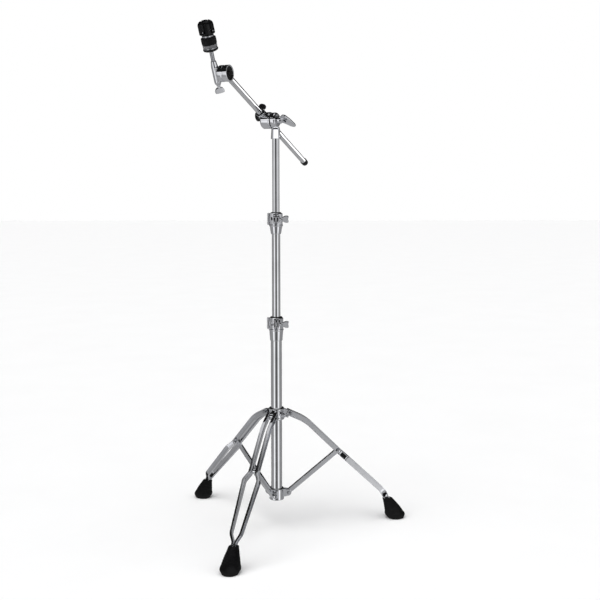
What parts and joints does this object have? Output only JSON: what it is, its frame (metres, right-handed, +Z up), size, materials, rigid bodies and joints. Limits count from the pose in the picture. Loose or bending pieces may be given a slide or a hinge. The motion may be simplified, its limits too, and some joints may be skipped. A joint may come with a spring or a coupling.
{
  "type": "cymbal boom stand",
  "caption": "Chrome folding tripod stand with telescoping height tubes, a tilting and sliding boom arm, and a felt-padded cymbal seat with a quick-release nut.",
  "frame": {"origin": "centre of the bottom of the box round the stand, on the floor under the three boots", "axes": "+Z up along the column; +X to the right and +Y to the back of the reference view; the boom rises towards -X and -Y"},
  "size_m": [0.61, 0.6334, 1.325],
  "materials": {
    "chrome_tube": "polished",
    "chrome_channel": "polished",
    "chrome_casting": "polished",
    "bright_steel": "satin",
    "boot_rubber": "matte",
    "black_plastic": "satin",
    "black_nylon": "matte",
    "black_felt": "matte",
    "grey_felt": "matte"
  },
  "bodies": {
    "root": {"base_tube": "chrome_tube", "base_end_plug": "black_plastic", "lower_hub": "chrome_casting", "lower_clamp_body": "chrome_casting", "lower_clamp_hinge_pin": "bright_steel", "brace_right_pin": "bright_steel", "brace_left_pin": "bright_steel", "brace_front_pin": "bright_steel"},
    "leg_hub": {"leg_hub": "chrome_casting", "leg_right_hub_pin": "bright_steel", "leg_left_hub_pin": "bright_steel", "leg_front_hub_pin": "bright_steel"},
    "hub_wing_screw": {"hub_wing_screw": "chrome_casting"},
    "leg_right": {"leg_right_bar_1": "chrome_channel", "leg_right_bar_2": "chrome_channel", "leg_right_boot": "boot_rubber"},
    "brace_right": {"brace_right": "chrome_channel", "brace_right_bush": "bright_steel"},
    "leg_left": {"leg_left_bar_1": "chrome_channel", "leg_left_bar_2": "chrome_channel", "leg_left_boot": "boot_rubber"},
    "brace_left": {"brace_left": "chrome_channel", "brace_left_bush": "bright_steel"},
    "leg_front": {"leg_front_bar_1": "chrome_channel", "leg_front_bar_2": "chrome_channel", "leg_front_boot": "boot_rubber"},
    "brace_front": {"brace_front": "chrome_channel", "brace_front_bush": "bright_steel"},
    "lower_clamp_jaw": {"lower_clamp_jaw": "chrome_casting"},
    "lower_clamp_wing_screw": {"lower_clamp_wing_screw": "chrome_casting"},
    "lower_clamp_bush": {"lower_clamp_bush": "black_nylon"},
    "middle_tube": {"middle_tube": "chrome_tube", "upper_clamp_body": "chrome_casting", "upper_clamp_hinge_pin": "bright_steel"},
    "upper_clamp_jaw": {"upper_clamp_jaw": "chrome_casting"},
    "upper_clamp_wing_screw": {"upper_clamp_wing_screw": "chrome_casting"},
    "upper_clamp_bush": {"upper_clamp_bush": "black_nylon"},
    "top_tube": {"top_tube": "chrome_tube", "tilter_base": "chrome_casting"},
    "tilter_lever": {"tilter_lever": "chrome_casting"},
    "boom_holder": {"boom_holder": "chrome_casting", "boom_holder_cap": "black_plastic", "tilter_friction_washer": "black_nylon"},
    "boom_clamp_knob": {"boom_clamp_knob": "black_plastic"},
    "boom_bush": {"boom_bush": "black_nylon"},
    "boom": {"boom_tube": "chrome_tube", "boom_end_cap": "black_plastic", "end_drum": "chrome_casting", "end_drum_cap": "black_plastic"},
    "cymbal_tilter": {"rod_holder": "chrome_casting", "cymbal_rod": "bright_steel", "seat_cup": "black_plastic", "seat_washer": "bright_steel"},
    "rod_wing_screw": {"rod_wing_screw": "chrome_casting"},
    "lower_felt": {"lower_felt": "grey_felt"},
    "upper_felt": {"upper_felt": "black_felt"},
    "nut_collar": {"nut_collar": "bright_steel"},
    "quick_nut_body": {"quick_nut_body": "black_plastic"},
    "quick_nut_lever_left": {"quick_nut_lever_left": "black_plastic"},
    "quick_nut_lever_right": {"quick_nut_lever_right": "black_plastic"}
  },
  "joints": [
    {"name": "hub_slide", "type": "slide", "parent": "root", "child": "leg_hub", "axis": [0, 0, 1], "range_m": [-0.01, 0.12]},
    {"name": "hub_screw_turn", "type": "hinge", "parent": "leg_hub", "child": "hub_wing_screw", "pos_m": [-0.03923, 0.01158, 0.3169], "axis": [0.6521, -0.7581, 0], "continuous": true},
    {"name": "leg_right_fold", "type": "hinge", "parent": "leg_hub", "child": "leg_right", "pos_m": [-0.01996, 0.03882, 0.3169], "axis": [-0.1852, 0.9827, 0], "range_deg": [-3.1, 36.4]},
    {"name": "leg_left_fold", "type": "hinge", "parent": "leg_hub", "child": "leg_left", "pos_m": [-0.08108, 0.06026, 0.3169], "axis": [-0.7585, -0.6517, 0], "range_deg": [-3.1, 36.4]},
    {"name": "leg_front_fold", "type": "hinge", "parent": "leg_hub", "child": "leg_front", "pos_m": [-0.06909, -0.0034, 0.3169], "axis": [0.9436, -0.331, 0], "range_deg": [-3.1, 36.4]},
    {"name": "brace_right_fold", "type": "hinge", "parent": "root", "child": "brace_right", "pos_m": [-0.02664, 0.03756, 0.0955], "axis": [0.1852, -0.9827, 0], "range_deg": [-3.1, 36.4]},
    {"name": "brace_left_fold", "type": "hinge", "parent": "root", "child": "brace_left", "pos_m": [-0.07665, 0.05511, 0.0955], "axis": [0.7585, 0.6517, 0], "range_deg": [-3.1, 36.4]},
    {"name": "brace_front_fold", "type": "hinge", "parent": "root", "child": "brace_front", "pos_m": [-0.06684, 0.00302, 0.0955], "axis": [-0.9436, 0.331, 0], "range_deg": [-3.1, 36.4]},
    {"name": "lower_jaw_open", "type": "hinge", "parent": "root", "child": "lower_clamp_jaw", "pos_m": [-0.07791, 0.03189, 0.548], "axis": [0, 0, -1], "range_deg": [0, 3]},
    {"name": "lower_screw_turn", "type": "hinge", "parent": "root", "child": "lower_clamp_wing_screw", "pos_m": [-0.04891, 0.0053, 0.564], "axis": [1, 0, 0], "continuous": true},
    {"name": "lower_swivel", "type": "hinge", "parent": "root", "child": "lower_clamp_bush", "pos_m": [-0.05671, 0.03189, 0.548], "axis": [0, 0, 1], "continuous": true},
    {"name": "middle_tube_slide", "type": "slide", "parent": "lower_clamp_bush", "child": "middle_tube", "axis": [0, 0, 1], "range_m": [-0.21, 0.06]},
    {"name": "upper_jaw_open", "type": "hinge", "parent": "middle_tube", "child": "upper_clamp_jaw", "pos_m": [-0.07631, 0.03189, 0.827], "axis": [0, 0, -1], "range_deg": [0, 3]},
    {"name": "upper_screw_turn", "type": "hinge", "parent": "middle_tube", "child": "upper_clamp_wing_screw", "pos_m": [-0.04891, 0.0069, 0.843], "axis": [1, 0, 0], "continuous": true},
    {"name": "upper_swivel", "type": "hinge", "parent": "middle_tube", "child": "upper_clamp_bush", "pos_m": [-0.05671, 0.03189, 0.827], "axis": [0, 0, 1], "continuous": true},
    {"name": "top_tube_slide", "type": "slide", "parent": "upper_clamp_bush", "child": "top_tube", "axis": [0, 0, 1], "range_m": [-0.185, 0.06]},
    {"name": "boom_tilt", "type": "hinge", "parent": "top_tube", "child": "boom_holder", "pos_m": [-0.05671, 0.03189, 1.101], "axis": [-0.8949, 0.4462, 0], "range_deg": [-43, 41]},
    {"name": "tilter_lever_turn", "type": "hinge", "parent": "top_tube", "child": "tilter_lever", "pos_m": [-0.05671, 0.03189, 1.101], "axis": [0.8949, -0.4462, 0], "continuous": true},
    {"name": "boom_knob_turn", "type": "hinge", "parent": "boom_holder", "child": "boom_clamp_knob", "pos_m": [-0.09506, 0.04461, 1.11941], "axis": [0.1779, 0.3569, 0.9171], "continuous": true},
    {"name": "boom_swivel", "type": "hinge", "parent": "boom_holder", "child": "boom_bush", "pos_m": [-0.08991, 0.05495, 1.11439], "axis": [-0.4092, -0.8207, 0.3987], "continuous": true},
    {"name": "boom_slide", "type": "slide", "parent": "boom_bush", "child": "boom", "axis": [-0.4092, -0.8207, 0.3987], "range_m": [-0.1, 0.2]},
    {"name": "cymbal_tilt", "type": "hinge", "parent": "boom", "child": "cymbal_tilter", "pos_m": [-0.17932, -0.12437, 1.20152], "axis": [-0.8949, 0.4462, 0], "range_deg": [-45, 60]},
    {"name": "rod_screw_turn", "type": "hinge", "parent": "cymbal_tilter", "child": "rod_wing_screw", "pos_m": [-0.19781, -0.1032, 1.17749], "axis": [-0.1815, -0.364, 0.9135], "continuous": true},
    {"name": "nut_lift", "type": "slide", "parent": "cymbal_tilter", "child": "nut_collar", "axis": [-0.1815, -0.364, 0.9135], "range_m": [0, 0.03]},
    {"name": "upper_felt_lift", "type": "slide", "parent": "cymbal_tilter", "child": "upper_felt", "axis": [-0.1815, -0.364, 0.9135], "range_m": [0, 0.016]},
    {"name": "lower_felt_lift", "type": "slide", "parent": "cymbal_tilter", "child": "lower_felt", "axis": [-0.1815, -0.364, 0.9135], "range_m": [0, 0.008]},
    {"name": "nut_spin", "type": "hinge", "parent": "nut_collar", "child": "quick_nut_body", "pos_m": [-0.20258, -0.11277, 1.20152], "axis": [-0.1815, -0.364, 0.9135], "continuous": true},
    {"name": "nut_lever_left_press", "type": "hinge", "parent": "quick_nut_body", "child": "quick_nut_lever_left", "pos_m": [-0.20999, -0.14937, 1.30149], "axis": [0.2381, -0.9176, -0.3183], "range_deg": [0, 5], "stiffness_Nm_per_rad": 0.3},
    {"name": "nut_lever_right_press", "type": "hinge", "parent": "quick_nut_body", "child": "quick_nut_lever_right", "pos_m": [-0.23365, -0.15333, 1.29521], "axis": [-0.2381, 0.9176, 0.3183], "range_deg": [0, 5], "stiffness_Nm_per_rad": 0.3}
  ],
  "couplings": [
    {"joint": "leg_right_fold", "follows": "hub_slide", "rad_per_m": 5.2812},
    {"joint": "leg_left_fold", "follows": "hub_slide", "rad_per_m": 5.2812},
    {"joint": "leg_front_fold", "follows": "hub_slide", "rad_per_m": 5.2812},
    {"joint": "brace_right_fold", "follows": "hub_slide", "rad_per_m": 5.2861},
    {"joint": "brace_left_fold", "follows": "hub_slide", "rad_per_m": 5.2861},
    {"joint": "brace_front_fold", "follows": "hub_slide", "rad_per_m": 5.2861},
    {"joint": "upper_felt_lift", "follows": "nut_lift", "ratio": 0.5},
    {"joint": "lower_felt_lift", "follows": "nut_lift", "ratio": 0.25}
  ]
}
